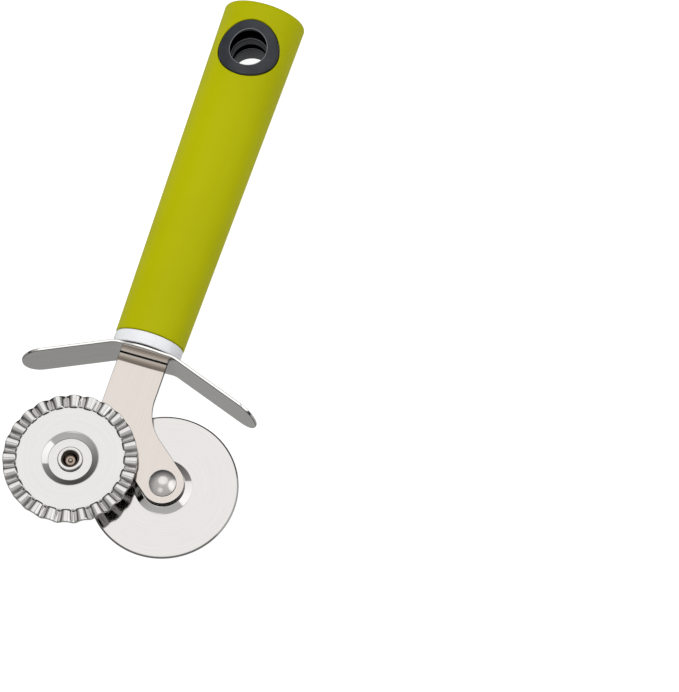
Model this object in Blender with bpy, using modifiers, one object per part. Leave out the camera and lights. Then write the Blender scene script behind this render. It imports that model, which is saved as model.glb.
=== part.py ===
"""Double-wheel pastry cutter: an oval handle, a finger guard and a forked plate with two wheels."""
import math

import bmesh
import bpy
from mathutils import Vector

MM = 0.001

# Design frame: handle along +Y from the grip's front end at y = 0, wheel axles along Z,
# the neck plate's middle plane at z = 0.
GAP = 0.3 * MM
RUNNING_GAP = 0.1 * MM

GRIP_LENGTH = 128.1 * MM
GRIP_FRONT_RADIUS = 12.05 * MM
GRIP_REAR_RADIUS = 14.45 * MM
HANDLE_FLATNESS = 0.82
GRIP_RIM_RADIUS = 1.6 * MM
GRIP_END_RISE = 1.4 * MM
GRIP_END_FLAT_RADIUS = 8.0 * MM
GRIP_WALL = 2.2 * MM
GRIP_CAVITY_END = 121.0 * MM
GRIP_LIP = 0.4 * MM

COLLAR_RADIUS = 11.9 * MM
COLLAR_LENGTH = 4.0 * MM
COLLAR_BORE = 8.9 * MM
COLLAR_EDGE = 0.95 * MM
GASKET_RADIUS = 10.3 * MM
GASKET_BORE = 5.6 * MM
GASKET_THICKNESS = 0.6 * MM

GUARD_THICKNESS = 1.0 * MM
GUARD_FACE = -6.35 * MM
GUARD_HALF_DEPTH = 8.75 * MM
GUARD_MIDDLE_BULGE = 1.2 * MM
GUARD_BULGE_REACH = 10.0 * MM
GUARD_TIP_LENGTH = 7.0 * MM
GUARD_BEND_RADIUS = 7.0 * MM
GUARD_LEFT_REACH = 38.7 * MM
GUARD_LEFT_BEND = -9.7 * MM
GUARD_LEFT_ANGLE = math.radians(24.5)
GUARD_RIGHT_REACH = 43.3 * MM
GUARD_RIGHT_BEND = 10.6 * MM
GUARD_RIGHT_ANGLE = math.radians(20.1)

PLATE_THICKNESS = 1.6 * MM
PLATE_HALF_WIDTH = 8.4 * MM
BOSS_RADIUS = 7.2 * MM
PLAIN_AXLE = Vector((20.3 * MM, -46.9 * MM, 0.0))
FLUTED_AXLE = Vector((-11.4 * MM, -48.5 * MM, 0.0))
PLAIN_ARM_ANGLE = math.radians(-40.0)
FLUTED_ARM_ANGLE = math.radians(-119.4)
OUTER_FILLET = 17.0 * MM
CROTCH_FILLET = 3.0 * MM
TANG_HALF_WIDTH = 5.0 * MM
TANG_END = 60.0 * MM
TANG_PINS = {"tang_pin_front": 15.0 * MM, "tang_pin_rear": 45.0 * MM}
TANG_PIN_RADIUS = 1.6 * MM
TANG_PIN_HALF_LENGTH = 7.1 * MM

CORE_NECK_RADIUS = 8.6 * MM
CORE_NECK_FRONT = -4.2 * MM
CORE_END = 120.0 * MM
CORE_SCREWS = {"core_screw_front": 72.0 * MM, "core_screw_rear": 93.0 * MM}
SCREW_RADIUS = 1.5 * MM
SCREW_HEAD_RADIUS = 3.0 * MM
SCREW_HEAD_TOP = 7.9 * MM
SCREW_HEAD_HEIGHT = 2.0 * MM
SCREW_TIP = -6.6 * MM

HOLE_Y = 109.0 * MM
HOLE_RADIUS = 6.5 * MM
GROMMET_TUBE_RADIUS = 7.7 * MM
GROMMET_FLANGE_RADIUS = 10.4 * MM
GROMMET_STAND_OUT = 0.15 * MM

SHANK_RADIUS = 2.5 * MM
HEAD_RADIUS = 4.65 * MM
HEAD_HEIGHT = 1.35 * MM
TAIL_RADIUS = 4.25 * MM
TAIL_HEIGHT = 0.9 * MM
TAIL_MOUTH_RADIUS = 2.9 * MM
TAIL_HOLLOW_RADIUS = 1.9 * MM
TAIL_HOLLOW_DEPTH = 2.2 * MM
BUSH_RADIUS = 3.15 * MM
WASHER_BORE = 3.5 * MM
WASHER_RADIUS = 6.2 * MM
WASHER_THICKNESS = 0.5 * MM
AXLE_GAP = 0.25 * MM

SHEET = 0.9 * MM
HUB_RADIUS = 7.4 * MM
HUB_SLOPE_RADIUS = 9.6 * MM
HUB_OFFSET = 1.1 * MM
PLAIN_RADIUS = 25.0 * MM
PLAIN_EDGE_WIDTH = 0.6 * MM
PLAIN_EDGE_THICKNESS = 0.3 * MM
FLUTED_RADIUS = 22.5 * MM
FLUTE_START = 17.9 * MM
FLUTE_RAMP = 0.7 * MM
FLUTE_HEIGHT = 0.7 * MM
FLUTE_COUNT = 24
FLUTE_STEPS = 6

HALF_PLATE = PLATE_THICKNESS / 2
HUB_NEAR = HALF_PLATE + AXLE_GAP + WASHER_THICKNESS + AXLE_GAP
TAIL_NEAR = HUB_NEAR + SHEET + AXLE_GAP
LEFT_EDGE = -GUARD_LEFT_REACH - GUARD_THICKNESS * math.sin(GUARD_LEFT_ANGLE)
RIGHT_EDGE = PLAIN_AXLE.x + PLAIN_RADIUS
FRONT_EDGE = PLAIN_AXLE.y - PLAIN_RADIUS
GRIP_SLOPE = (GRIP_REAR_RADIUS - GRIP_FRONT_RADIUS) / (GRIP_LENGTH - GRIP_RIM_RADIUS)
FLANGE_END = HOLE_Y + GROMMET_FLANGE_RADIUS
LOWEST = HANDLE_FLATNESS * (GRIP_FRONT_RADIUS + GRIP_SLOPE * FLANGE_END + GROMMET_STAND_OUT)
ROUND_STEPS = 48
SMALL_STEPS = 24
PIN_STEPS = 16
PLAIN_WHEEL_STEPS = 80


def clearScene():
    for item in list(bpy.data.objects):
        bpy.data.objects.remove(item, do_unlink=True)


def newCollection(name):
    collection = bpy.data.collections.new(name)
    bpy.context.scene.collection.children.link(collection)
    return collection


def material(name, color, roughness, metallic):
    result = bpy.data.materials.new(name)
    result.use_nodes = True
    shader = result.node_tree.nodes["Principled BSDF"]
    shader.inputs["Base Color"].default_value = (*color, 1.0)
    shader.inputs["Roughness"].default_value = roughness
    shader.inputs["Metallic"].default_value = metallic
    return result


def addObject(name, mesh, collection, look=None):
    item = bpy.data.objects.new(name, mesh)
    collection.objects.link(item)
    if look:
        mesh.materials.append(look)
    return item


def gripRadius(y):
    return GRIP_FRONT_RADIUS + GRIP_SLOPE * max(0.0, y)


def coreRadius(y):
    return gripRadius(y) - GRIP_WALL - GAP


def arcPoints(centre, radius, start, end, count):
    angles = [start + (end - start) * i / (count - 1) for i in range(count)]
    return [(centre[0] + radius * math.cos(a), centre[1] + radius * math.sin(a)) for a in angles]


def filletCorner(before, corner, after, radius, count):
    """Points of the arc that rounds a corner between two straight runs."""
    corner = Vector(corner)
    back = (Vector(before) - corner).normalized()
    ahead = (Vector(after) - corner).normalized()
    half = back.angle(ahead) / 2
    centre = corner + (back + ahead).normalized() * radius / math.sin(half)
    start = corner + back * radius / math.tan(half) - centre
    end = corner + ahead * radius / math.tan(half) - centre
    first = math.atan2(start.y, start.x)
    turn = (math.atan2(end.y, end.x) - first + math.pi) % (2 * math.pi) - math.pi
    return arcPoints(centre, radius, first, first + turn, count)


def profileMesh(name, points, closed):
    """A chain of (radius, height) points in the XZ plane."""
    mesh = bpy.data.meshes.new(name)
    edges = [(i, i + 1) for i in range(len(points) - 1)]
    if closed:
        edges.append((len(points) - 1, 0))
    mesh.from_pydata([(r, 0.0, h) for r, h in points], edges, [])
    return mesh


def turned(name, points, collection, look=None, closed=False, steps=ROUND_STEPS):
    """A profile turned about the local Z axis."""
    item = addObject(name, profileMesh(name, points, closed), collection, look)
    screw = item.modifiers.new("Turn", "SCREW")
    screw.steps = steps
    screw.render_steps = steps
    screw.use_merge_vertices = True
    screw.merge_threshold = 0.01 * MM
    return item


def alongHandle(item):
    """Turns an object's local Z onto the handle's +Y and presses it to the handle's oval section."""
    item.rotation_euler.x = math.radians(-90)
    item.scale.y = HANDLE_FLATNESS
    return item


def bakeMesh(item):
    """Replaces an object's data by its evaluated mesh, with no modifiers left."""
    bpy.context.view_layer.update()
    graph = bpy.context.evaluated_depsgraph_get()
    mesh = bpy.data.meshes.new_from_object(item.evaluated_get(graph))
    item.modifiers.clear()
    item.data = mesh
    return item


def cylinderCutter(name, radius, low, high, location, cutters, steps=SMALL_STEPS):
    mesh = bpy.data.meshes.new(name)
    shape = bmesh.new()
    bmesh.ops.create_cone(shape, cap_ends=True, segments=steps, radius1=radius, radius2=radius,
                          depth=high - low)
    bmesh.ops.translate(shape, verts=shape.verts, vec=(0, 0, (low + high) / 2))
    shape.to_mesh(mesh)
    shape.free()
    item = asCutter(addObject(name, mesh, cutters))
    item.location = location
    return item


def boxCutter(name, low, high, cutters):
    mesh = bpy.data.meshes.new(name)
    shape = bmesh.new()
    bmesh.ops.create_cube(shape, size=1.0)
    size = Vector(high) - Vector(low)
    bmesh.ops.scale(shape, verts=shape.verts, vec=size)
    bmesh.ops.translate(shape, verts=shape.verts, vec=(Vector(low) + Vector(high)) / 2)
    shape.to_mesh(mesh)
    shape.free()
    return asCutter(addObject(name, mesh, cutters))


def asCutter(item):
    item.hide_render = True
    item.display_type = "WIRE"
    return item


def boolean(item, cutter, operation="DIFFERENCE"):
    modifier = item.modifiers.new(operation.title() + " " + cutter.name, "BOOLEAN")
    modifier.operation = operation
    modifier.object = cutter
    return modifier


def extrudedOutline(name, outlines, thickness, collection, look):
    """Closed 2D outlines in XY, the later ones being holes, thickened both ways along Z."""
    curve = bpy.data.curves.new(name, "CURVE")
    curve.dimensions = "2D"
    curve.fill_mode = "BOTH"
    curve.extrude = thickness / 2
    for outline in outlines:
        spline = curve.splines.new("POLY")
        spline.points.add(len(outline) - 1)
        for point, place in zip(spline.points, outline):
            point.co = (place[0], place[1], 0.0, 1.0)
        spline.use_cyclic_u = True
    source = addObject(name + "_outline", curve, collection)
    bpy.context.view_layer.update()
    graph = bpy.context.evaluated_depsgraph_get()
    mesh = bpy.data.meshes.new_from_object(source.evaluated_get(graph))
    bpy.data.objects.remove(source, do_unlink=True)
    shape = bmesh.new()
    shape.from_mesh(mesh)
    bmesh.ops.remove_doubles(shape, verts=shape.verts, dist=0.001 * MM)
    bmesh.ops.recalc_face_normals(shape, faces=shape.faces)
    shape.to_mesh(mesh)
    shape.free()
    mesh.materials.clear()
    return addObject(name, mesh, collection, look)


def plateOutline():
    """Tang, shoulders, stem and the two round-ended arms, anticlockwise from the tang's end."""
    shoulder = GUARD_FACE - GAP
    normal = math.radians(90)
    fluted, plain = FLUTED_AXLE.xy, PLAIN_AXLE.xy
    flutedWay = Vector((math.cos(FLUTED_ARM_ANGLE), math.sin(FLUTED_ARM_ANGLE)))
    plainWay = Vector((math.cos(PLAIN_ARM_ANGLE), math.sin(PLAIN_ARM_ANGLE)))

    def edgePoint(axle, angle, side):
        offset = Vector((math.cos(angle + side * normal), math.sin(angle + side * normal)))
        return axle + offset * BOSS_RADIUS

    def atStemEdge(point, way, x):
        return point + way * ((x - point.x) / way.x)

    flutedOuter = edgePoint(fluted, FLUTED_ARM_ANGLE, -1)
    flutedInner = edgePoint(fluted, FLUTED_ARM_ANGLE, 1)
    plainInner = edgePoint(plain, PLAIN_ARM_ANGLE, -1)
    plainOuter = edgePoint(plain, PLAIN_ARM_ANGLE, 1)
    leftCorner = atStemEdge(flutedOuter, flutedWay, -PLATE_HALF_WIDTH)
    rightCorner = atStemEdge(plainOuter, plainWay, PLATE_HALF_WIDTH)
    cross = flutedWay.x * plainWay.y - flutedWay.y * plainWay.x
    between = plainInner - flutedInner
    crotch = flutedInner + flutedWay * (between.x * plainWay.y - between.y * plainWay.x) / cross
    leftShoulder = (-PLATE_HALF_WIDTH, shoulder)
    rightShoulder = (PLATE_HALF_WIDTH, shoulder)
    points = [(-TANG_HALF_WIDTH, TANG_END), (-TANG_HALF_WIDTH, shoulder)]
    points.append(leftShoulder)
    points += filletCorner(leftShoulder, leftCorner, flutedOuter, OUTER_FILLET, 6)
    points += arcPoints(fluted, BOSS_RADIUS, FLUTED_ARM_ANGLE - normal, FLUTED_ARM_ANGLE + normal, 17)
    points += filletCorner(flutedInner, crotch, plainInner, CROTCH_FILLET, 7)
    points += arcPoints(plain, BOSS_RADIUS, PLAIN_ARM_ANGLE - normal, PLAIN_ARM_ANGLE + normal, 17)
    points += filletCorner(plainOuter, rightCorner, rightShoulder, OUTER_FILLET, 8)
    points.append(rightShoulder)
    points += [(TANG_HALF_WIDTH, shoulder), (TANG_HALF_WIDTH, TANG_END)]
    return points


def circleOutline(centre, radius, steps=SMALL_STEPS):
    return arcPoints(centre, radius, 0.0, 2 * math.pi, steps + 1)[:-1]


def addNeckPlate(parts, look):
    holes = [circleOutline(axle, SHANK_RADIUS + GAP) for axle in (FLUTED_AXLE, PLAIN_AXLE)]
    holes += [circleOutline((0.0, y), TANG_PIN_RADIUS + GAP, PIN_STEPS) for y in TANG_PINS.values()]
    return extrudedOutline("neck_plate", [plateOutline()] + holes, PLATE_THICKNESS, parts, look)


def addGrip(parts, cutters, look):
    flatY = GRIP_LENGTH
    rimY = GRIP_LENGTH - GRIP_END_RISE - GRIP_RIM_RADIUS
    rimCentre = (GRIP_REAR_RADIUS - GRIP_RIM_RADIUS, rimY)
    points = [(0.0, flatY), (GRIP_END_FLAT_RADIUS, flatY)]
    points += arcPoints(rimCentre, GRIP_RIM_RADIUS, math.radians(80), 0.0, 5)
    points.append((gripRadius(GRIP_LIP), GRIP_LIP))
    points.append((gripRadius(0.0) - GRIP_LIP, 0.0))
    points.append((gripRadius(0.0) - GRIP_WALL, 0.0))
    points.append((gripRadius(GRIP_CAVITY_END) - GRIP_WALL, GRIP_CAVITY_END))
    points.append((0.0, GRIP_CAVITY_END))
    grip = alongHandle(turned("handle_grip", points, parts, look))
    reach = 2 * GRIP_REAR_RADIUS
    hole = cylinderCutter("grip_hole_cutter", GROMMET_FLANGE_RADIUS + GAP, -reach, reach,
                          (0, HOLE_Y, 0), cutters, ROUND_STEPS)
    boolean(grip, hole)
    return grip


def coreProfile():
    points = [(0.0, CORE_END), (coreRadius(CORE_END), CORE_END), (coreRadius(GAP), GAP)]
    points += [(CORE_NECK_RADIUS, GAP), (CORE_NECK_RADIUS, CORE_NECK_FRONT), (0.0, CORE_NECK_FRONT)]
    return points


def addCoreHalves(parts, cutters, look):
    """Two half rounds clamping the tang, split at z = 0."""
    reach = 2 * GRIP_REAR_RADIUS
    pocket = boxCutter("tang_pocket_cutter",
                       (-TANG_HALF_WIDTH - GAP, CORE_NECK_FRONT - reach, -HALF_PLATE - GAP),
                       (TANG_HALF_WIDTH + GAP, TANG_END + GAP, HALF_PLATE + GAP), cutters)
    eyelet = cylinderCutter("core_eyelet_cutter", GROMMET_TUBE_RADIUS + GAP, -reach, reach,
                            (0, HOLE_Y, 0), cutters, ROUND_STEPS)
    holes = [pocket, eyelet]
    for name, y in TANG_PINS.items():
        holes.append(cylinderCutter(name + "_cutter", TANG_PIN_RADIUS + GAP, -reach, reach,
                                    (0, y, 0), cutters, PIN_STEPS))
    for name, y in CORE_SCREWS.items():
        holes.append(cylinderCutter(name + "_cutter", SCREW_RADIUS + GAP, SCREW_TIP - GAP, reach,
                                    (0, y, 0), cutters, PIN_STEPS))
        seat = SCREW_HEAD_TOP - SCREW_HEAD_HEIGHT - GAP
        holes.append(cylinderCutter(name + "_head_cutter", SCREW_HEAD_RADIUS + GAP, seat, reach,
                                    (0, y, 0), cutters, PIN_STEPS))
    for name, side in (("handle_core_upper", 1), ("handle_core_lower", -1)):
        half = alongHandle(turned(name, coreProfile(), parts, look))
        faces = sorted((-side * reach, side * GAP / 2))
        away = boxCutter(name + "_split_cutter", (-reach, -reach, faces[0]),
                         (reach, CORE_END + reach, faces[1]), cutters)
        for cutter in [away] + holes:
            boolean(half, cutter)


def addCollar(parts, look):
    rear = -GAP
    front = rear - COLLAR_LENGTH
    centre = (COLLAR_RADIUS - COLLAR_EDGE, front + COLLAR_EDGE)
    points = [(COLLAR_BORE, rear), (COLLAR_RADIUS - GAP, rear), (COLLAR_RADIUS, rear - GAP)]
    points += arcPoints(centre, COLLAR_EDGE, 0.0, math.radians(-90), 5)
    points.append((COLLAR_BORE, front))
    return alongHandle(turned("handle_collar", points, parts, look, closed=True))


def addGasket(parts, look):
    rear = -GAP - COLLAR_LENGTH - AXLE_GAP
    front = rear - GASKET_THICKNESS
    points = [(GASKET_BORE, rear), (GASKET_RADIUS, rear), (GASKET_RADIUS, front), (GASKET_BORE, front)]
    return alongHandle(turned("collar_gasket", points, parts, look, closed=True, steps=ROUND_STEPS))


def guardColumns():
    """Places along the strip from left to right: x, y, half depth, on the face toward the wheels."""
    columns = []
    sides = ((-1, GUARD_LEFT_REACH, -GUARD_LEFT_BEND, GUARD_LEFT_ANGLE),
             (1, GUARD_RIGHT_REACH, GUARD_RIGHT_BEND, GUARD_RIGHT_ANGLE))
    for side, reach, bend, angle in sides:
        tangent = GUARD_BEND_RADIUS * math.tan(angle / 2)
        half = []
        flatEnd = bend - tangent
        for i in range(4):
            half.append((flatEnd * i / 4, GUARD_FACE))
        for i in range(6):
            a = angle * i / 5
            half.append((flatEnd + GUARD_BEND_RADIUS * math.sin(a),
                         GUARD_FACE - GUARD_BEND_RADIUS * (1 - math.cos(a))))
        wing = [(x, y, GUARD_HALF_DEPTH + middleBulge(x)) for x, y in half]
        tipStart = reach - GUARD_TIP_LENGTH * math.cos(angle)
        for i in range(9):
            a = math.radians(90) * i / 8
            x = tipStart + GUARD_TIP_LENGTH * math.cos(angle) * math.sin(a)
            wing.append((x, GUARD_FACE - (x - bend) * math.tan(angle), GUARD_HALF_DEPTH * math.cos(a)))
        placed = [(side * x, y, depth) for x, y, depth in wing]
        columns = placed[:0:-1] + columns if side < 0 else columns + placed
    return columns


def middleBulge(x):
    if abs(x) >= GUARD_BULGE_REACH:
        return 0.0
    return GUARD_MIDDLE_BULGE * (1 + math.cos(math.pi * x / GUARD_BULGE_REACH)) / 2


def addGuard(parts, cutters, look):
    columns = guardColumns()
    rows = (-1.0, -0.5, 0.5, 1.0)
    mesh = bpy.data.meshes.new("finger_guard")
    shape = bmesh.new()
    grid = [[shape.verts.new((x, y, depth * v)) for v in rows] for x, y, depth in columns]
    for left, right in zip(grid, grid[1:]):
        for i in range(len(rows) - 1):
            shape.faces.new((left[i], right[i], right[i + 1], left[i + 1]))
    bmesh.ops.remove_doubles(shape, verts=shape.verts, dist=0.001 * MM)
    shape.to_mesh(mesh)
    shape.free()
    guard = addObject("finger_guard", mesh, parts, look)
    solid = guard.modifiers.new("Thickness", "SOLIDIFY")
    solid.thickness = GUARD_THICKNESS
    solid.offset = -1.0
    slot = boxCutter("guard_slot_cutter",
                     (-TANG_HALF_WIDTH - GAP, GUARD_FACE - BOSS_RADIUS, -HALF_PLATE - GAP),
                     (TANG_HALF_WIDTH + GAP, GUARD_FACE + BOSS_RADIUS, HALF_PLATE + GAP), cutters)
    boolean(guard, slot)
    return guard


def addTangPin(name, y, parts, look):
    points = [(0.0, TANG_PIN_HALF_LENGTH), (TANG_PIN_RADIUS, TANG_PIN_HALF_LENGTH)]
    points += [(TANG_PIN_RADIUS, -TANG_PIN_HALF_LENGTH), (0.0, -TANG_PIN_HALF_LENGTH)]
    pin = turned(name, points, parts, look, steps=PIN_STEPS)
    pin.location = (0, y, 0)
    return pin


def addCoreScrew(name, y, parts, look):
    seat = SCREW_HEAD_TOP - SCREW_HEAD_HEIGHT
    points = [(0.0, SCREW_HEAD_TOP), (SCREW_HEAD_RADIUS, SCREW_HEAD_TOP), (SCREW_HEAD_RADIUS, seat)]
    points += [(SCREW_RADIUS, seat), (SCREW_RADIUS, SCREW_TIP + SCREW_RADIUS), (0.0, SCREW_TIP)]
    screw = turned(name, points, parts, look, steps=PIN_STEPS)
    screw.location = (0, y, 0)
    return screw


def roundShell(name, radiusAt, cutters):
    """A solid oval frustum along the handle around the hanging hole."""
    low = HOLE_Y - 2 * GROMMET_FLANGE_RADIUS
    high = HOLE_Y + 2 * GROMMET_FLANGE_RADIUS
    points = [(0.0, high), (radiusAt(high), high), (radiusAt(low), low), (0.0, low)]
    return asCutter(alongHandle(turned(name, points, cutters)))


def addGrommets(parts, cutters, look):
    """Two eyelets whose flanges follow the grip's surface and whose tubes meet at z = 0."""
    reach = 2 * GRIP_REAR_RADIUS
    centre = (0, HOLE_Y, 0)
    outer = roundShell("grommet_outer_guide", lambda y: gripRadius(y) + GROMMET_STAND_OUT, cutters)
    under = roundShell("grommet_under_cutter", lambda y: coreRadius(y) + GAP, cutters)
    tube = cylinderCutter("grommet_tube_cutter", GROMMET_TUBE_RADIUS, -reach, reach, centre, cutters,
                          ROUND_STEPS)
    boolean(under, tube)
    bore = cylinderCutter("grommet_bore_cutter", HOLE_RADIUS, -reach, reach, centre, cutters,
                          ROUND_STEPS)
    for name, side in (("hanging_grommet_upper", 1), ("hanging_grommet_lower", -1)):
        points = [(0.0, reach), (GROMMET_FLANGE_RADIUS, reach)]
        points += [(GROMMET_FLANGE_RADIUS, GAP / 2), (0.0, GAP / 2)]
        grommet = turned(name, points, parts, look)
        grommet.location = centre
        grommet.rotation_euler.y = 0.0 if side > 0 else math.radians(180)
        boolean(grommet, outer, "INTERSECT")
        boolean(grommet, under)
        boolean(grommet, bore)


def rivetProfile():
    """Head up: dome, shank and the rolled hollow tail, from the top of the axis to the bottom."""
    headBase = HALF_PLATE + AXLE_GAP
    tailEnd = -TAIL_NEAR - TAIL_HEIGHT
    domeRadius = (HEAD_RADIUS ** 2 + HEAD_HEIGHT ** 2) / (2 * HEAD_HEIGHT)
    domeCentre = (0.0, headBase + HEAD_HEIGHT - domeRadius)
    spread = math.asin(HEAD_RADIUS / domeRadius)
    points = arcPoints(domeCentre, domeRadius, math.radians(90), math.radians(90) - spread, 7)
    points[0] = (0.0, headBase + HEAD_HEIGHT)
    points += [(SHANK_RADIUS, headBase), (SHANK_RADIUS, -TAIL_NEAR)]
    points += [(TAIL_RADIUS, -TAIL_NEAR), (TAIL_RADIUS, tailEnd + TAIL_HEIGHT / 2)]
    points += [(TAIL_RADIUS - TAIL_HEIGHT / 2, tailEnd), (TAIL_MOUTH_RADIUS, tailEnd)]
    points += [(TAIL_HOLLOW_RADIUS, -TAIL_NEAR), (TAIL_HOLLOW_RADIUS, tailEnd + TAIL_HOLLOW_DEPTH)]
    points.append((0.0, tailEnd + TAIL_HOLLOW_DEPTH))
    return points


def addAxleSet(prefix, axle, wheelSide, parts, looks):
    """Rivet, bush and spacer washer of one wheel. wheelSide is the wheel's side of the plate along Z."""
    tilt = 0.0 if wheelSide < 0 else math.radians(180)
    rivet = turned(prefix + "_axle_rivet", rivetProfile(), parts, looks["rivet"], steps=SMALL_STEPS)
    bushInner = SHANK_RADIUS + RUNNING_GAP
    bushTop = -HALF_PLATE - AXLE_GAP
    bushEnd = -TAIL_NEAR + AXLE_GAP / 2
    points = [(bushInner, bushTop), (BUSH_RADIUS, bushTop), (BUSH_RADIUS, bushEnd), (bushInner, bushEnd)]
    bush = turned(prefix + "_axle_bush", points, parts, looks["bush"], closed=True, steps=SMALL_STEPS)
    washerEnd = bushTop - WASHER_THICKNESS
    points = [(WASHER_BORE, bushTop), (WASHER_RADIUS, bushTop)]
    points += [(WASHER_RADIUS, washerEnd), (WASHER_BORE, washerEnd)]
    washer = turned(prefix + "_spacer_washer", points, parts, looks["washer"], closed=True,
                    steps=SMALL_STEPS)
    for item in (rivet, bush, washer):
        item.location = axle
        item.rotation_euler.x = tilt


def addPlainWheel(parts, look):
    """Turned disc behind the plate, its hub dished toward the plate."""
    hubTop = -HUB_NEAR
    rimTop = hubTop - HUB_OFFSET
    bore = BUSH_RADIUS + RUNNING_GAP
    edge = PLAIN_RADIUS - PLAIN_EDGE_WIDTH
    middle = rimTop - SHEET / 2
    points = [(bore, hubTop), (HUB_RADIUS, hubTop), (HUB_SLOPE_RADIUS, rimTop), (edge, rimTop)]
    points += [(PLAIN_RADIUS, middle + PLAIN_EDGE_THICKNESS / 2)]
    points += [(PLAIN_RADIUS, middle - PLAIN_EDGE_THICKNESS / 2), (edge, rimTop - SHEET)]
    points += [(HUB_SLOPE_RADIUS, rimTop - SHEET), (HUB_RADIUS, hubTop - SHEET), (bore, hubTop - SHEET)]
    wheel = turned("plain_wheel", points, parts, look, closed=True, steps=PLAIN_WHEEL_STEPS)
    wheel.location = PLAIN_AXLE
    return wheel


def flutePhase(angle):
    """Height of the flute wave, +1 on a land and -1 in a groove, with flat tops."""
    wave = 1.8 * math.cos(FLUTE_COUNT * angle)
    return max(-1.0, min(1.0, wave))


def addFlutedWheel(parts, look):
    """Thin sheet in front of the plate, turned, then pressed into flutes near its rim."""
    hubMiddle = HUB_NEAR + SHEET / 2
    rimMiddle = hubMiddle + HUB_OFFSET
    rampEnd = FLUTE_START + FLUTE_RAMP
    points = [(FLUTED_RADIUS, rimMiddle), (rampEnd, rimMiddle), (FLUTE_START, rimMiddle)]
    points += [(HUB_SLOPE_RADIUS, rimMiddle), (HUB_RADIUS, hubMiddle)]
    points.append((BUSH_RADIUS + RUNNING_GAP, hubMiddle))
    wheel = turned("fluted_wheel", points, parts, look, steps=FLUTE_COUNT * FLUTE_STEPS)
    bakeMesh(wheel)
    for vertex in wheel.data.vertices:
        radius = math.hypot(vertex.co.x, vertex.co.y)
        ramp = min(1.0, max(0.0, (radius - FLUTE_START) / FLUTE_RAMP))
        angle = math.atan2(vertex.co.y, vertex.co.x)
        vertex.co.z += FLUTE_HEIGHT * ramp * flutePhase(angle)
    solid = wheel.modifiers.new("Sheet", "SOLIDIFY")
    solid.thickness = SHEET
    solid.offset = 0.0
    wheel.location = FLUTED_AXLE
    return wheel


def standOnGround(parts):
    """Hangs all parts on one empty that puts the row's origin under the middle of the object."""
    origin = bpy.data.objects.new("assembly_origin", None)
    parts.objects.link(origin)
    origin.location = (-(LEFT_EDGE + RIGHT_EDGE) / 2, -(FRONT_EDGE + GRIP_LENGTH) / 2, LOWEST)
    return origin


def main():
    clearScene()
    parts = newCollection("pastry_cutter_wheel")
    cutters = newCollection("cutters")
    green = material("grip_green", (0.45, 0.47, 0.01), 0.45, 0.0)
    white = material("collar_white", (0.86, 0.87, 0.88), 0.2, 0.0)
    core = material("core_plastic", (0.80, 0.80, 0.78), 0.5, 0.0)
    dark = material("grommet_dark", (0.03, 0.035, 0.045), 0.5, 0.0)
    black = material("gasket_rubber", (0.01, 0.01, 0.01), 0.7, 0.0)
    guardSteel = material("guard_steel", (0.60, 0.59, 0.58), 0.22, 1.0)
    plateSteel = material("plate_steel", (0.68, 0.65, 0.62), 0.28, 1.0)
    wheelSteel = material("wheel_steel", (0.66, 0.65, 0.64), 0.25, 1.0)
    pinSteel = material("pin_steel", (0.55, 0.55, 0.55), 0.4, 1.0)
    polished = material("rivet_steel", (0.72, 0.71, 0.70), 0.12, 1.0)
    bronze = material("bush_bronze", (0.55, 0.38, 0.18), 0.35, 1.0)
    nylon = material("washer_nylon", (0.75, 0.74, 0.70), 0.5, 0.0)
    looks = {"rivet": polished, "bush": bronze, "washer": nylon}

    addGrip(parts, cutters, green)
    addCoreHalves(parts, cutters, core)
    addCollar(parts, white)
    addGasket(parts, black)
    addGuard(parts, cutters, guardSteel)
    addNeckPlate(parts, plateSteel)
    for name, y in TANG_PINS.items():
        addTangPin(name, y, parts, pinSteel)
    for name, y in CORE_SCREWS.items():
        addCoreScrew(name, y, parts, pinSteel)
    addGrommets(parts, cutters, dark)
    addAxleSet("plain", PLAIN_AXLE, -1, parts, looks)
    addAxleSet("fluted", FLUTED_AXLE, 1, parts, looks)
    addPlainWheel(parts, wheelSteel)
    addFlutedWheel(parts, wheelSteel)

    origin = standOnGround(parts)
    for item in list(parts.objects) + list(cutters.objects):
        if item is not origin:
            item.parent = origin
    for item in parts.objects:
        if item.type == "MESH":
            item.data.shade_smooth()
            item.data.set_sharp_from_angle(angle=math.radians(35))


main()
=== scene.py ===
import math

import bmesh
import bpy
import numpy as np
from mathutils import Matrix, Vector


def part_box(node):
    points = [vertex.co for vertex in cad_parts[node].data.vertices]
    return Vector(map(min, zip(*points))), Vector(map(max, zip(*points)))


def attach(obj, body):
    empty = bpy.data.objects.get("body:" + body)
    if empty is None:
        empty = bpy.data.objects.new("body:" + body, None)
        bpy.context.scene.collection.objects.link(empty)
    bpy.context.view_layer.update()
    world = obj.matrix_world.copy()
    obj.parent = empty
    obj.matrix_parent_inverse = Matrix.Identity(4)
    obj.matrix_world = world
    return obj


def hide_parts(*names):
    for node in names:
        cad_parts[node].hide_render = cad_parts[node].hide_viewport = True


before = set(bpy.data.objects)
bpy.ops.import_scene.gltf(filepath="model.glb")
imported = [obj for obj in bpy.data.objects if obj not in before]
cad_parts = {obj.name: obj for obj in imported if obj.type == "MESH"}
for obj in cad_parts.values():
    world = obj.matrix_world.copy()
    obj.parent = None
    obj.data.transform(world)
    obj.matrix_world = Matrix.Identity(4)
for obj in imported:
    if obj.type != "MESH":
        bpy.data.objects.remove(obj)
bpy.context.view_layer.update()  # frame["bodies"], ["nodes"], ["joints"], ["record"]
print("frame loaded:", len(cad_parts), "nodes")

# Everything below is worked out in millimetres from the middle of the handle's front end, and is put in
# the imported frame's place by makePiece. Handle along +y, wheel axles along z.
mm = 0.001
gripLow, gripHigh = (np.array(corner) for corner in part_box("handle_grip"))
origin = np.array(((gripLow[0] + gripHigh[0]) / 2, gripLow[1], (gripLow[2] + gripHigh[2]) / 2))


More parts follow.
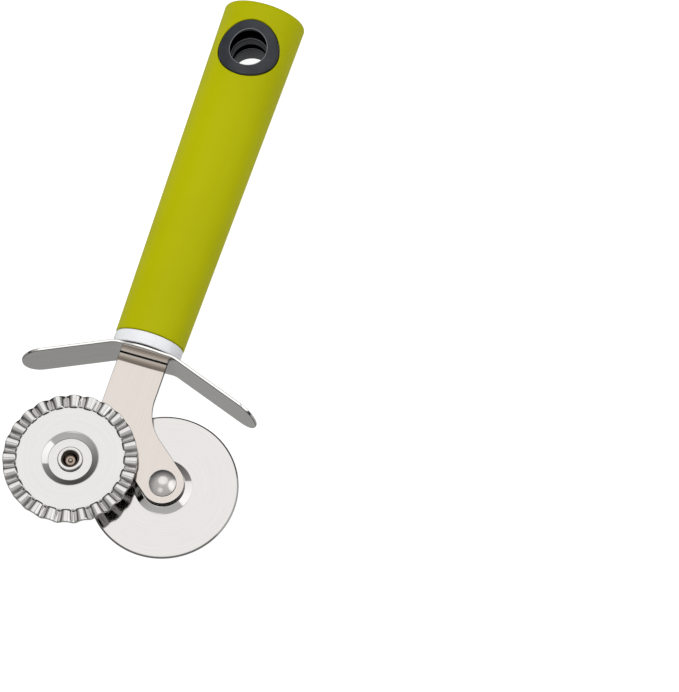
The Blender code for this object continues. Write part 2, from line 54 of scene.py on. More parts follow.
def boxOf(node):
    # A node's lowest and highest corners, in millimetres from the handle's front end.
    low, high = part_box(node)
    return (np.array(low) - origin) / mm, (np.array(high) - origin) / mm


def axleOf(node):
    low, high = boxOf(node)
    return (low + high)[:2] / 2


plainAxle = axleOf("plain_axle_rivet")
flutedAxle = axleOf("fluted_axle_rivet")


def arc(centre, radius, startDegrees, endDegrees, count):
    # Points on a circle: the centre plus radius times (cos, sin) of an evenly turned angle.
    turn = np.radians(np.linspace(startDegrees, endDegrees, count))
    return np.stack((centre[0] + radius * np.cos(turn), centre[1] + radius * np.sin(turn)), axis=1)


def roundedChain(corners, radii, closed=True, count=6, support=0.04):
    # Straight runs between corners, each corner replaced by the arc that touches both its runs,
    # with one more point a hair before and after the arc so that the flats shade flat.
    corners = np.array(corners, float)
    radii = np.maximum(np.array(radii, float), 1e-4)[:, None]
    back = np.roll(corners, 1, axis=0) - corners
    ahead = np.roll(corners, -1, axis=0) - corners
    back /= np.linalg.norm(back, axis=1, keepdims=True)
    ahead /= np.linalg.norm(ahead, axis=1, keepdims=True)
    half = np.arccos(np.clip((back * ahead).sum(1), -0.999999, 1.0))[:, None] / 2
    middle = (back + ahead) / np.linalg.norm(back + ahead, axis=1, keepdims=True)
    centre = corners + middle * radii / np.sin(half)
    start = corners + back * radii / np.tan(half)
    end = corners + ahead * radii / np.tan(half)
    first = np.arctan2(*(start - centre).T[::-1])[:, None]
    last = np.arctan2(*(end - centre).T[::-1])[:, None]
    turn = np.mod(last - first + np.pi, 2 * np.pi) - np.pi
    angle = first + turn * np.linspace(0.0, 1.0, count)
    arcs = centre[:, None] + radii[:, None] * np.stack((np.cos(angle), np.sin(angle)), axis=2)
    before = (start + back * support)[:, None]
    after = (end + ahead * support)[:, None]
    chain = np.concatenate((before, arcs, after), axis=1)
    if not closed:
        chain = chain[1:-1]
    chain = chain.reshape(-1, 2)
    if not closed:
        chain = np.concatenate((corners[:1], chain, corners[-1:]))
    return chain


def turned(profile, steps, centre=(0.0, 0.0)):
    # A (radius, height) profile carried round a circle: x = r cos a, y = r sin a, z = height.
    angle = np.linspace(0.0, 2 * np.pi, steps, endpoint=False)
    radius, height = np.array(profile).T
    across = centre[0] + np.outer(radius, np.cos(angle))
    along = centre[1] + np.outer(radius, np.sin(angle))
    return np.stack((across, along, np.outer(height, np.ones(steps))), axis=2)


def gridFaces(shape, wrapRows, wrapColumns, keep=None):
    # Four-cornered faces between neighbouring rows and columns, closed round where asked.
    index = np.arange(shape[0] * shape[1]).reshape(shape[:2])
    if wrapRows:
        index = np.vstack((index, index[:1]))
    if wrapColumns:
        index = np.hstack((index, index[:, :1]))
    faces = np.stack((index[:-1, :-1], index[:-1, 1:], index[1:, 1:], index[1:, :-1]), axis=2)
    return faces[keep] if keep is not None else faces.reshape(-1, 4)


def makePiece(name, grids, finish, body, node, caps=(), sharp=50.0):
    # grids holds (points, wrapRows, wrapColumns, keep); caps holds runs of vertex numbers to fill.
    points = []
    faces = []
    start = 0
    for grid, wrapRows, wrapColumns, keep in grids:
        points.append(grid.reshape(-1, 3))
        faces += (gridFaces(grid.shape, wrapRows, wrapColumns, keep) + start).tolist()
        start += grid.shape[0] * grid.shape[1]
    faces += [list(cap) for cap in caps]
    mesh = bpy.data.meshes.new(name)
    mesh.from_pydata((np.concatenate(points) * mm + origin).tolist(), [], faces)
    shape = bmesh.new()
    shape.from_mesh(mesh)
    bmesh.ops.remove_doubles(shape, verts=shape.verts, dist=0.0004 * mm)
    bmesh.ops.dissolve_degenerate(shape, edges=shape.edges, dist=0.0002 * mm)
    bmesh.ops.recalc_face_normals(shape, faces=shape.faces)
    shape.to_mesh(mesh)
    shape.free()
    mesh.shade_smooth()
    mesh.set_sharp_from_angle(angle=math.radians(sharp))
    mesh.materials.append(finish)
    piece = bpy.data.objects.new(name, mesh)
    bpy.context.scene.collection.objects.link(piece)
    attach(piece, body)
    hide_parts(node)
    print("made", name, len(mesh.polygons), "faces")
    return piece


def startFinish(name):
    finish = bpy.data.materials.new(name)
    finish.use_nodes = True
    nodes = finish.node_tree.nodes
    return finish, nodes, finish.node_tree.links, nodes["Principled BSDF"]


def noise(nodes, links, vector, scale, detail=3.0, roughness=0.5):
    node = nodes.new("ShaderNodeTexNoise")
    node.inputs["Scale"].default_value = scale
    node.inputs["Detail"].default_value = detail
    node.inputs["Roughness"].default_value = roughness
    links.new(vector, node.inputs["Vector"])
    return node.outputs["Fac"]


def ramp(nodes, links, value, stops):
    # stops: (place, colour) pairs along the value.
    node = nodes.new("ShaderNodeValToRGB")
    elements = node.color_ramp.elements
    elements[0].position, elements[0].color = stops[0][0], (*stops[0][1], 1.0)
    elements[1].position, elements[1].color = stops[-1][0], (*stops[-1][1], 1.0)
    for place, colour in stops[1:-1]:
        elements.new(place).color = (*colour, 1.0)
    links.new(value, node.inputs["Fac"])
    return node.outputs["Color"]


def spread(nodes, links, value, low, high, fromLow=0.3, fromHigh=0.7):
    node = nodes.new("ShaderNodeMapRange")
    node.inputs["From Min"].default_value = fromLow
    node.inputs["From Max"].default_value = fromHigh
    node.inputs["To Min"].default_value = low
    node.inputs["To Max"].default_value = high
    links.new(value, node.inputs["Value"])
    return node.outputs["Result"]


def bump(nodes, links, value, shader, distance, strength=1.0):
    node = nodes.new("ShaderNodeBump")
    node.inputs["Strength"].default_value = strength
    node.inputs["Distance"].default_value = distance
    links.new(value, node.inputs["Height"])
    links.new(node.outputs["Normal"], shader.inputs["Normal"])


def multiplied(nodes, links, tone, factor):
    mix = nodes.new("ShaderNodeMixRGB")
    mix.blend_type = "MULTIPLY"
    mix.inputs["Fac"].default_value = 1.0
    links.new(tone, mix.inputs["Color1"])
    links.new(factor, mix.inputs["Color2"])
    return mix.outputs["Color"]


def mixedWith(nodes, links, tone, colour, share):
    mix = nodes.new("ShaderNodeMixRGB")
    links.new(share, mix.inputs["Fac"])
    links.new(tone, mix.inputs["Color1"])
    mix.inputs["Color2"].default_value = (*colour, 1.0)
    return mix.outputs["Color"]


def worked(nodes, links, operation, first, second=None):
    node = nodes.new("ShaderNodeMath")
    node.operation = operation
    links.new(first, node.inputs[0])
    if second is not None:
        links.new(second, node.inputs[1])
    return node.outputs["Value"]


def lengthOf(nodes, links, vector):
    node = nodes.new("ShaderNodeVectorMath")
    node.operation = "LENGTH"
    links.new(vector, node.inputs[0])
    return node.outputs["Value"]


def axisOf(nodes, links, vector, axis):
    node = nodes.new("ShaderNodeSeparateXYZ")
    links.new(vector, node.inputs["Vector"])
    return node.outputs[axis]


def objectPlace(nodes, links, stretch=(1.0, 1.0, 1.0), centre=(0.0, 0.0, 0.0)):
    # Object coordinates moved to a centre and stretched along the grain.
    source = nodes.new("ShaderNodeTexCoord")
    mapping = nodes.new("ShaderNodeMapping")
    mapping.inputs["Scale"].default_value = stretch
    mapping.inputs["Location"].default_value = [-c * s for c, s in zip(centre, stretch)]
    links.new(source.outputs["Object"], mapping.inputs["Vector"])
    return mapping.outputs["Vector"]


def plasticFinish(name, look):
    finish, nodes, links, shader = startFinish(name)
    place = objectPlace(nodes, links)
    broad = noise(nodes, links, place, look["patches"])
    fine = noise(nodes, links, place, look["texture"], 2.0)
    links.new(ramp(nodes, links, broad, ((0.35, look["dark"]), (0.65, look["light"]))),
              shader.inputs["Base Color"])
    links.new(spread(nodes, links, fine, look["smooth"], look["rough"]), shader.inputs["Roughness"])
    bump(nodes, links, fine, shader, look["bump"] * mm)
    shader.inputs["IOR"].default_value = look.get("ior", 1.46)
    shader.inputs["Coat Weight"].default_value = look.get("coat", 0.0)
    shader.inputs["Coat Roughness"].default_value = 0.08
    shader.inputs["Specular IOR Level"].default_value = look.get("gloss", 0.5)
    return finish


def steelFinish(name, look, axle=None):
    # Straight brushed grain, or grain running round an axle where one is given.
    finish, nodes, links, shader = startFinish(name)
    if axle is None:
        grainPlace = objectPlace(nodes, links, look["stretch"])
    else:
        centre = (axle[0] * mm + origin[0], axle[1] * mm + origin[1], 0.0)
        flat = objectPlace(nodes, links, (1.0, 1.0, 0.0), centre)
        radius = lengthOf(nodes, links, flat)
        combine = nodes.new("ShaderNodeCombineXYZ")
        links.new(radius, combine.inputs["X"])
        wobble = noise(nodes, links, flat, 60.0, 1.0)
        links.new(spread(nodes, links, wobble, 0.0, 0.0006), combine.inputs["Y"])
        grainPlace = combine.outputs["Vector"]
    grain = noise(nodes, links, grainPlace, look["grain"], 4.0, 0.6)
    patches = noise(nodes, links, objectPlace(nodes, links), look["patches"], 3.0)
    tone = ramp(nodes, links, grain, ((0.3, look["dark"]), (0.7, look["light"])))
    # painted shade: darker rings about the axle, by distance from it
    if "paintedShadeRings" in look:
        reach = spread(nodes, links, radius, 0.0, 1.0, 0.0, look["reach"] * mm)
        tone = multiplied(nodes, links, tone, ramp(nodes, links, reach, look["paintedShadeRings"]))
    if "joint" in look:  # painted shade: a dark line on the plate where it meets the guard
        start, end = (y * mm + origin[1] for y in look["joint"])
        along = axisOf(nodes, links, objectPlace(nodes, links), "Y")
        share = spread(nodes, links, along, 0.0, 1.0, start, end)
        tone = mixedWith(nodes, links, tone, look["jointTone"], share)
    if "paintedEdgeShading" in look:  # painted highlight and shade by facing, from the sheet's cut side (0) round its edge to the rolled face (1)
        normal = nodes.new("ShaderNodeTexCoord").outputs["Normal"]
        toFace = worked(nodes, links, "ABSOLUTE", axisOf(nodes, links, normal, look["faceAxis"]))
        tone = multiplied(nodes, links, tone, ramp(nodes, links, toFace, look["paintedEdgeShading"]))
    if "paintedGuardReflection" in look:  # painted reflection of the guard: a brown darker band on the plate beside the joint
        start, end = (y * mm + origin[1] for y in look["guardReflectionReach"])
        along = axisOf(nodes, links, objectPlace(nodes, links), "Y")
        reach = spread(nodes, links, along, 0.0, 1.0, start, end)
        tone = multiplied(nodes, links, tone, ramp(nodes, links, reach, look["paintedGuardReflection"]))
    links.new(tone, shader.inputs["Base Color"])
    links.new(spread(nodes, links, patches, look["smooth"], look["rough"]), shader.inputs["Roughness"])
    bump(nodes, links, grain, shader, look["bump"] * mm)
    shader.inputs["Metallic"].default_value = 1.0
    return finish


greenLook = {"dark": (0.458, 0.463, 0.0), "light": (0.488, 0.493, 0.0), "patches": 30.0,
             "texture": 2600.0, "smooth": 0.42, "rough": 0.52, "bump": 0.006, "gloss": 0.08}
grip = plasticFinish("grip green soft plastic", greenLook)

gripSize = {"length": 128.1, "frontRadius": 12.05, "rearRadius": 14.45, "flatness": 0.82, "wall": 2.2,
            "lip": 0.4, "rimRadius": 1.6, "endRise": 1.4, "domeLead": 2.4, "domeFlat": 8.6, "endFlat": 5.0,
            "cavityEnd": 121.0, "sideEnd": 122.4, "rimTurn": 66.0,
            "holeAt": 109.0, "holeRadius": 10.7, "holeEdge": 0.35, "windowHalfLength": 11.6,
            "windowHalfAngle": 78.0, "windowSteps": 48}
flatness = gripSize["flatness"]
gripSlope = (gripSize["rearRadius"] - gripSize["frontRadius"]) / (gripSize["length"] - gripSize["rimRadius"])


def gripRadius(y):
    return gripSize["frontRadius"] + gripSlope * np.maximum(y, 0.0)


def ovalPoint(radius, angle, y):
    # The handle's pressed circle: x = r sin a, z = flatness r cos a.
    shape = np.broadcast(radius, angle, y)
    across = np.broadcast_to(radius * np.sin(angle), shape.shape)
    up = np.broadcast_to(flatness * radius * np.cos(angle), shape.shape)
    return np.stack((across, np.broadcast_to(y, shape.shape), up), axis=-1)


def bezier(points, count):
    # Cubic curve: the four control points weighted by (1-t)^3, 3t(1-t)^2, 3t^2(1-t) and t^3.
    t = np.linspace(0.0, 1.0, count)[:, None]
    a, b, c, d = np.array(points, float)
    return a * (1 - t) ** 3 + 3 * b * t * (1 - t) ** 2 + 3 * c * t ** 2 * (1 - t) + d * t ** 3


def gripProfile():
    # Cavity's end, cavity wall, lip, tapering side, rim and domed end, as (radius, y) and the two windows.
    size = gripSize
    steps = size["windowSteps"]
    rows = np.concatenate((np.linspace(0.0, 1.0, 20)[:-1] * (size["holeAt"] - size["windowHalfLength"]),
                           size["holeAt"] + size["windowHalfLength"] * np.linspace(-1.0, 1.0, steps + 1)))
    inner = np.concatenate((rows, [size["cavityEnd"]]))[::-1]
    innerPart = np.stack((gripRadius(inner) - size["wall"], inner), axis=1)
    lipPart = arc((gripRadius(0.0) - size["lip"], size["lip"]), size["lip"], -90.0, 0.0, 6)
    outer = rows.copy()
    outer[0] = size["lip"] + 0.15
    rimY = size["length"] - size["endRise"] - size["rimRadius"]
    outer = np.concatenate((outer, [size["sideEnd"], rimY - 0.1]))
    outerPart = np.stack((gripRadius(outer), outer), axis=1)
    rimPart = arc((size["rearRadius"] - size["rimRadius"], rimY), size["rimRadius"], 0.0, size["rimTurn"], 9)
    last = rimPart[-1]
    rimTurn = math.radians(size["rimTurn"])
    slope = np.array((-math.sin(rimTurn), math.cos(rimTurn)))
    lead = last + slope * size["domeLead"]
    flats = [(size[key], size["length"]) for key in ("domeFlat", "endFlat")]
    domePart = bezier((last, lead, *flats), 14)[1:]
    chain = np.concatenate(([(0.0, size["cavityEnd"])], innerPart, lipPart, outerPart, rimPart, domePart,
                            [(0.0, size["length"])]))
    innerStart = 2
    outerStart = 1 + len(innerPart) + len(lipPart) + 19
    return chain, innerStart, outerStart


def windowPatch(surfaceRadius, edgeRadius):
    # From a circle to a square window: (a, y) slides in a straight line from the circle to the side of
    # the square.
    size = gripSize
    steps = size["windowSteps"]
    side = np.linspace(-1.0, 1.0, steps + 1)[:-1]
    one = np.ones(steps)
    u = np.concatenate((side, one, -side, -one))
    v = np.concatenate((-one, side, one, -side))
    around = np.arctan2(v, u)
    x = edgeRadius * np.cos(around)
    circleY = size["holeAt"] + edgeRadius * np.sin(around)
    circleA = np.arcsin(x / surfaceRadius(circleY))
    squareA = u * math.radians(size["windowHalfAngle"])
    squareY = size["holeAt"] + v * size["windowHalfLength"]
    t = np.linspace(0.0, 1.0, 9)[:, None]
    angle = circleA * (1 - t) + squareA * t
    y = circleY * (1 - t) + squareY * t
    return ovalPoint(surfaceRadius(y), angle, y), around


def gripWall(around):
    # The hole's wall: rings that round over the outer edge, drop straight down and end on the cavity wall.
    size = gripSize
    turn = np.radians(np.linspace(90.0, 0.0, 6))
    radius = size["holeRadius"] + size["holeEdge"] * (1 - np.cos(turn))
    drop = size["holeEdge"] * (1 - np.sin(turn))
    radius = np.concatenate((radius, [size["holeRadius"]]))[:, None]
    drop = np.concatenate((drop, [0.0]))[:, None]
    inset = np.concatenate((np.zeros(6), [size["wall"]]))[:, None]
    x = radius * np.cos(around)
    y = size["holeAt"] + radius * np.sin(around)
    up = flatness * np.sqrt((gripRadius(y) - inset) ** 2 - x ** 2) - drop
    return np.stack((x, y, up), axis=2)


def addGrip():
    size = gripSize
    steps = size["windowSteps"]
    half = math.radians(size["windowHalfAngle"])
    top = np.linspace(-half, half, steps + 1)
    sides = np.linspace(half, np.pi - half, 13)[1:-1]
    columns = np.concatenate((top, sides, top + np.pi, sides + np.pi))
    profile, innerStart, outerStart = gripProfile()
    grid = ovalPoint(profile[:, :1], columns[None, :], profile[:, 1:])
    keep = np.ones((len(profile) - 1, len(columns)), bool)
    second = len(top) + len(sides)
    for first in (innerStart, outerStart):
        for left in (0, second):
            keep[first:first + steps, left:left + steps] = False
    flip = np.array((1.0, 1.0, -1.0))
    outerEdge = size["holeRadius"] + size["holeEdge"]
    outer, around = windowPatch(gripRadius, outerEdge)
    inner, around = windowPatch(lambda y: gripRadius(y) - size["wall"], size["holeRadius"])
    wall = gripWall(around)
    grids = [(grid, False, True, keep)]
    for patch in (outer, inner, wall):
        grids.append((patch, False, True, None))
        grids.append((patch * flip, False, True, None))
    return makePiece("grip_shell", grids, grip, "handle", "handle_grip")


addGrip()


collarLook = {"dark": (0.90, 0.91, 0.94), "light": (0.93, 0.94, 0.96), "patches": 120.0,
              "texture": 900.0, "smooth": 0.10, "rough": 0.20, "bump": 0.002, "coat": 0.4}
gasketLook = {"dark": (0.006, 0.006, 0.007), "light": (0.012, 0.012, 0.013), "patches": 300.0,
              "texture": 2500.0, "smooth": 0.6, "rough": 0.8, "bump": 0.01}
collarWhite = plasticFinish("collar gloss white", collarLook)
gasketBlack = plasticFinish("gasket rubber", gasketLook)

collarSize = {"radius": 11.9, "bore": 8.9, "rear": -0.3, "front": -4.7, "rearEdge": 0.3, "frontEdge": 0.55}
gasketSize = {"radius": 11.3, "bore": 5.6, "rear": -4.73, "front": -5.32, "edge": 0.1}


def pressedRing(profile, steps):
    # A closed (radius, y) profile carried round the handle's pressed circle.
    angle = np.linspace(0.0, 2 * np.pi, steps, endpoint=False)
    return ovalPoint(profile[:, :1], angle[None, :], profile[:, 1:])


def ringCorners(size):
    return ((size["bore"], size["rear"]), (size["radius"], size["rear"]), (size["radius"], size["front"]),
            (size["bore"], size["front"]))


def addCollar():
    size = collarSize
    edges = (0.1, size["rearEdge"], size["frontEdge"], 0.2)
    profile = roundedChain(ringCorners(size), edges, count=9)
    makePiece("collar_ring", [(pressedRing(profile, 160), True, True, None)], collarWhite, "handle",
              "handle_collar")
    size = gasketSize
    profile = roundedChain(ringCorners(size), [size["edge"]] * 4, count=4)
    makePiece("gasket_ring", [(pressedRing(profile, 128), True, True, None)], gasketBlack, "handle",
              "collar_gasket")


addCollar()


def eyeletFinish(name, look, axis):
    # Charcoal plastic whose tone follows the distance from the hole's axis: a painted highlight as a light
    # ring at the mouth, and painted shade, near black and without specular reflection, in the recesses inside
    # the tube.
    finish = plasticFinish(name, look)
    nodes = finish.node_tree.nodes
    links = finish.node_tree.links
    shader = nodes["Principled BSDF"]
    tone = shader.inputs["Base Color"].links[0].from_socket
    centre = (axis[0] * mm + origin[0], axis[1] * mm + origin[1], origin[2])
    stretch = (1.0 / (1.0 - look["mouthNarrow"]), 1.0, 0.0)
    radius = lengthOf(nodes, links, objectPlace(nodes, links, stretch, centre))
    height = axisOf(nodes, links, objectPlace(nodes, links, centre=centre), "Z")
    depth = worked(nodes, links, "ABSOLUTE", height)

    def over(value, limits, low, high):
        return spread(nodes, links, value, low, high, limits[0] * mm, limits[1] * mm)

    # painted shade: near-black tone, without specular reflection, in the recesses inside the tube
    dark = over(depth, look["recessDepth"], 1.0, 0.0)
    dark = worked(nodes, links, "MULTIPLY", dark, over(radius, look["recessOuter"], 1.0, 0.0))
    dark = worked(nodes, links, "MULTIPLY", dark, over(radius, look["recessInner"], 0.0, 1.0))
    # painted highlight: a light ring at the mouth
    edge = ramp(nodes, links, over(radius, look["mouthHighlightReach"], 0.0, 1.0),
                ((0.0, (0.0, 0.0, 0.0)), (0.27, (0.0, 0.0, 0.0)), (0.36, (1.0, 1.0, 1.0)),
                 (0.46, (1.0, 1.0, 1.0)), (0.56, (0.0, 0.0, 0.0))))
    tone = mixedWith(nodes, links, tone, look["paintedMouthHighlight"], edge)
    tone = mixedWith(nodes, links, tone, look["recess"], dark)
    links.new(tone, shader.inputs["Base Color"])
    links.new(spread(nodes, links, dark, look["gloss"], 0.0, 0.0, 1.0), shader.inputs["Specular IOR Level"])
    return finish


# The light mouth ring is a painted highlight and the near-black recess tone is painted shade.
grommetLook = {"dark": (0.022, 0.025, 0.031), "light": (0.032, 0.036, 0.044), "patches": 250.0,
               "texture": 3200.0, "smooth": 0.38, "rough": 0.52, "bump": 0.008, "gloss": 0.4,
               "paintedMouthHighlight": (0.22, 0.225, 0.23), "recess": (0.0006, 0.0006, 0.0006), "mouthNarrow": 0.06,
               "recessDepth": (9.1, 9.4), "recessInner": (7.0, 7.2), "recessOuter": (7.65, 7.7),
               "mouthHighlightReach": (6.5, 7.5)}
grommetDark = eyeletFinish("grommet charcoal", grommetLook, (0.0, gripSize["holeAt"]))

grommetSize = {"tube": 7.7, "flange": 10.4, "standOut": 0.15, "flangeThickness": 2.35, "edge": 0.35,
               "mouth": 6.75, "mouthEdge": 0.22, "lipDepth": 0.9, "recess": 7.4, "sleeve": 6.6,
               "recessEnd": 4.6, "coneEnd": 3.4, "rearRecessEnd": 3.9, "split": 0.15}


def grommetRings(side):
    # Rings from the tube's foot over the flange into the mouth and down: radius, drop below the flange's
    # surface, height above the split, and which of the two heights counts. The front one has its recess
    # under the mouth, the rear one next to the split.
    size = grommetSize
    turn = np.radians(np.linspace(0.0, 90.0, 7))
    edgeRadius = size["flange"] - size["edge"] * (1 - np.cos(turn))
    edgeDrop = size["edge"] * (1 - np.sin(turn))
    mouthRadius = size["mouth"] + size["mouthEdge"] * (1 - np.sin(turn))
    mouthDrop = size["mouthEdge"] * (1 - np.cos(turn))
    paintedShadeRings = [(size["tube"], 0.0, size["split"], 0.0), (size["tube"], size["flangeThickness"], 0.0, 1.0)]
    paintedShadeRings += [(size["flange"], size["flangeThickness"], 0.0, 1.0)]
    paintedShadeRings += [(r, d, 0.0, 1.0) for r, d in zip(edgeRadius, edgeDrop)]
    paintedShadeRings += [(edgeRadius[-1] - 0.05, 0.0, 0.0, 1.0)]
    paintedShadeRings += [(r, 0.0, 0.0, 1.0) for r in np.linspace(9.4, mouthRadius[0] + 0.05, 6)]
    paintedShadeRings += [(r, d, 0.0, 1.0) for r, d in zip(mouthRadius, mouthDrop)]
    if side > 0:
        paintedShadeRings += [(size["mouth"], size["lipDepth"], 0.0, 1.0)]
        paintedShadeRings += [(size["recess"], size["lipDepth"] + 0.4, 0.0, 1.0)]
        paintedShadeRings += [(size["recess"], 0.0, size["recessEnd"], 0.0), (size["sleeve"], 0.0, size["coneEnd"], 0.0)]
        paintedShadeRings += [(size["sleeve"], 0.0, size["split"], 0.0)]
    else:
        paintedShadeRings += [(size["sleeve"], size["lipDepth"], 0.0, 1.0)]
        paintedShadeRings += [(size["sleeve"], 0.0, size["rearRecessEnd"] + 0.3, 0.0)]
        paintedShadeRings += [(size["recess"], 0.0, size["rearRecessEnd"], 0.0)]
        paintedShadeRings += [(size["recess"], 0.0, size["split"], 0.0)]
    return np.array(paintedShadeRings)


def addGrommets():
    # Each ring is a circle about the hole whose height follows the handle's pressed surface.
    size = grommetSize
    angle = np.linspace(0.0, 2 * np.pi, 144, endpoint=False)[None, :]
    for side, name in ((1, "upper"), (-1, "lower")):
        radius, drop, height, follows = grommetRings(side).T[:, :, None]
        narrow = 1 - grommetLook["mouthNarrow"] * np.clip((size["tube"] - radius) / 0.3, 0.0, 1.0)
        x = narrow * radius * np.cos(angle)
        y = gripSize["holeAt"] + radius * np.sin(angle)
        surface = flatness * np.sqrt((gripRadius(y) + size["standOut"]) ** 2 - x ** 2)
        up = follows * (surface - drop) + (1 - follows) * height
        grid = np.stack((x, y, side * up), axis=2)
        makePiece("eyelet_" + name, [(grid, True, True, None)], grommetDark, "handle",
                  "hanging_grommet_" + name, sharp=32.0)


addGrommets()


# The guard's cut side is brightened as a painted highlight, and its rounded edge carries a painted dark line
# of shade.
guardLook = {"dark": (0.54, 0.53, 0.515), "light": (0.64, 0.63, 0.615), "stretch": (60.0, 60.0, 2600.0),
             "grain": 1.0, "patches": 90.0, "smooth": 0.11, "rough": 0.18, "bump": 0.0016, "faceAxis": "Y",
             "paintedEdgeShading": ((0.0, (1.45, 1.45, 1.45)), (0.35, (1.45, 1.45, 1.45)), (0.45, (0.04, 0.04, 0.04)),
                          (0.82, (0.04, 0.04, 0.04)), (0.90, (1.0, 1.0, 1.0)))}
guardSteel = steelFinish("guard brushed steel", guardLook)

guardSize = {"face": -6.35, "thickness": 1.0, "edge": 0.24, "halfDepth": 8.75, "bulge": 1.2,
             "bulgeReach": 10.0, "tip": 7.0, "bendRadius": 7.0, "slotHalfWidth": 5.3, "slotHalfDepth": 1.1,
             "leftReach": 38.7, "leftBend": 9.7, "leftAngle": 24.5,
             "rightReach": 43.3, "rightBend": 10.6, "rightAngle": 20.1}


def guardWings():
    # Side, reach, distance to the bend and angle of the bend for the left and the right wing.
    size = guardSize
    return ((-1, size["leftReach"], size["leftBend"], math.radians(size["leftAngle"])),
            (1, size["rightReach"], size["rightBend"], math.radians(size["rightAngle"])))


def guardStations():
    # Distances along the strip from its middle: the slot's ends, the bends and the tips each get a row.
    size = guardSize
    rows = [np.linspace(-size["slotHalfWidth"], size["slotHalfWidth"], 17)]
    for side, reach, bend, angle in guardWings():
        tangent = size["bendRadius"] * math.tan(angle / 2)
        flatEnd = bend - tangent
        bendEnd = flatEnd + size["bendRadius"] * angle
        length = bendEnd + (reach - bend) / math.cos(angle) - tangent
        tipStart = length - size["tip"]
        part = np.concatenate((np.linspace(size["slotHalfWidth"], flatEnd, 5)[1:],
                               np.linspace(flatEnd, bendEnd, 13)[1:],
                               np.linspace(bendEnd, tipStart, 14)[1:],
                               tipStart + size["tip"] * np.sin(np.radians(np.linspace(0.0, 90.0, 28)[1:]))))
        rows.append(side * part)
    return np.concatenate((rows[1][::-1], rows[0], rows[2]))


def bendSheet(along, height):
    # Flat strip to bent strip: straight, then an arc of the bend radius, then straight at the wing's angle.
    # height is measured from the face toward the wheels, toward the handle.
    size = guardSize
    x = along.copy()
    y = size["face"] + height
    for side, reach, bend, angle in guardWings():
        radius = size["bendRadius"]
        flatEnd = bend - radius * math.tan(angle / 2)
        past = side * along - flatEnd
        turn = np.clip(past / radius, 0.0, angle)
        over = np.maximum(past - radius * angle, 0.0)
        bentX = flatEnd + (radius + height) * np.sin(turn) + over * math.cos(angle)
        bentY = size["face"] - radius + (radius + height) * np.cos(turn) - over * math.sin(angle)
        bent = past > 0
        x = np.where(bent, side * bentX, x)
        y = np.where(bent, bentY, y)
    return x, y


def addGuard():
    # A closed section carried along the strip: flat faces joined by round edges, drawn in to half an
    # ellipse at each tip.
    size = guardSize
    along = guardStations()
    turn = np.radians(np.linspace(0.0, 90.0, 6))
    inset = size["edge"] * (1 - np.sin(turn))
    rise = size["edge"] * (1 - np.cos(turn))
    half = np.linspace(0.0, 1.0, 9)[1:]
    faceShare = np.concatenate((-half[::-1], [-0.0, 0.0], half))
    lowFace = [(share, size["edge"], 0.0) for share in faceShare]
    edgeUp = [(1.0, i, r) for i, r in zip(inset, rise)]
    section = lowFace + edgeUp[1:]
    section += [(1.0, i, size["thickness"] - r) for i, r in zip(inset[::-1], rise[::-1])]
    section += [(share, size["edge"], size["thickness"]) for share in faceShare[::-1]][1:]
    section += [(-1.0, i, size["thickness"] - r) for i, r in zip(inset, rise)][1:]
    section += [(-1.0, i, r) for i, r in zip(inset[::-1], rise[::-1])][:-1]
    share, insetAt, heightAt = (np.array(column)[None, :] for column in zip(*section))
    place = along[:, None]
    ends = (along[0], along[-1])
    tipStart = np.where(place < 0, -ends[0] - size["tip"], ends[1] - size["tip"])
    past = np.clip((np.abs(place) - tipStart) / size["tip"], 0.0, 1.0)
    bulge = size["bulge"] * (1 + np.cos(np.pi * np.clip(place / size["bulgeReach"], -1.0, 1.0))) / 2
    depth = (size["halfDepth"] + bulge - insetAt) * np.sqrt(1 - past ** 2)
    slotPart = np.minimum(size["slotHalfDepth"], 0.12 * depth)
    width = np.abs(share)
    firstShare = 0.125
    inner = slotPart * width / firstShare
    outer = slotPart + (width - firstShare) / (1 - firstShare) * (depth - slotPart)
    across = np.sign(share) * np.where(width <= firstShare + 1e-9, inner, outer)
    pulled = np.sign(place) * (np.minimum(np.abs(place), tipStart) + past * (size["tip"] - insetAt))
    x, y = bendSheet(pulled + 0.0 * across, heightAt + 0.0 * across)
    grid = np.stack((x, y, across), axis=2)
    count = len(share[0])
    middle = len(faceShare) // 2
    keep = np.ones((len(along) - 1, count), bool)
    inSlot = np.abs((along[:-1] + along[1:]) / 2) < size["slotHalfWidth"]
    lowCells = np.arange(middle - 2, middle + 1)
    highFirst = next(i for i in range(middle + 3, len(section)) if section[i][2] == size["thickness"]
                     and abs(section[i][0] - firstShare) < 1e-6)
    highCells = np.arange(highFirst, highFirst + 3)
    keep[np.ix_(inSlot, np.concatenate((lowCells, highCells)))] = False
    # slot walls between the two faces
    slotX = along[np.abs(along) <= size["slotHalfWidth"] + 1e-9]
    deep = size["slotHalfDepth"]
    walls = []
    for z in (-deep, deep):
        line = np.stack((slotX, np.full_like(slotX, size["face"]), np.full_like(slotX, z)), axis=1)
        walls.append((np.stack((line, line + (0.0, size["thickness"], 0.0))), False, False, None))
    for x in (-size["slotHalfWidth"], size["slotHalfWidth"]):
        zs = np.array((-deep, 0.0, deep))
        line = np.stack((np.full(3, x), np.full(3, size["face"]), zs), axis=1)
        walls.append((np.stack((line, line + (0.0, size["thickness"], 0.0))), False, False, None))
    makePiece("guard_strip", [(grid, False, True, keep)] + walls, guardSteel, "handle", "finger_guard",
              sharp=40.0)


addGuard()


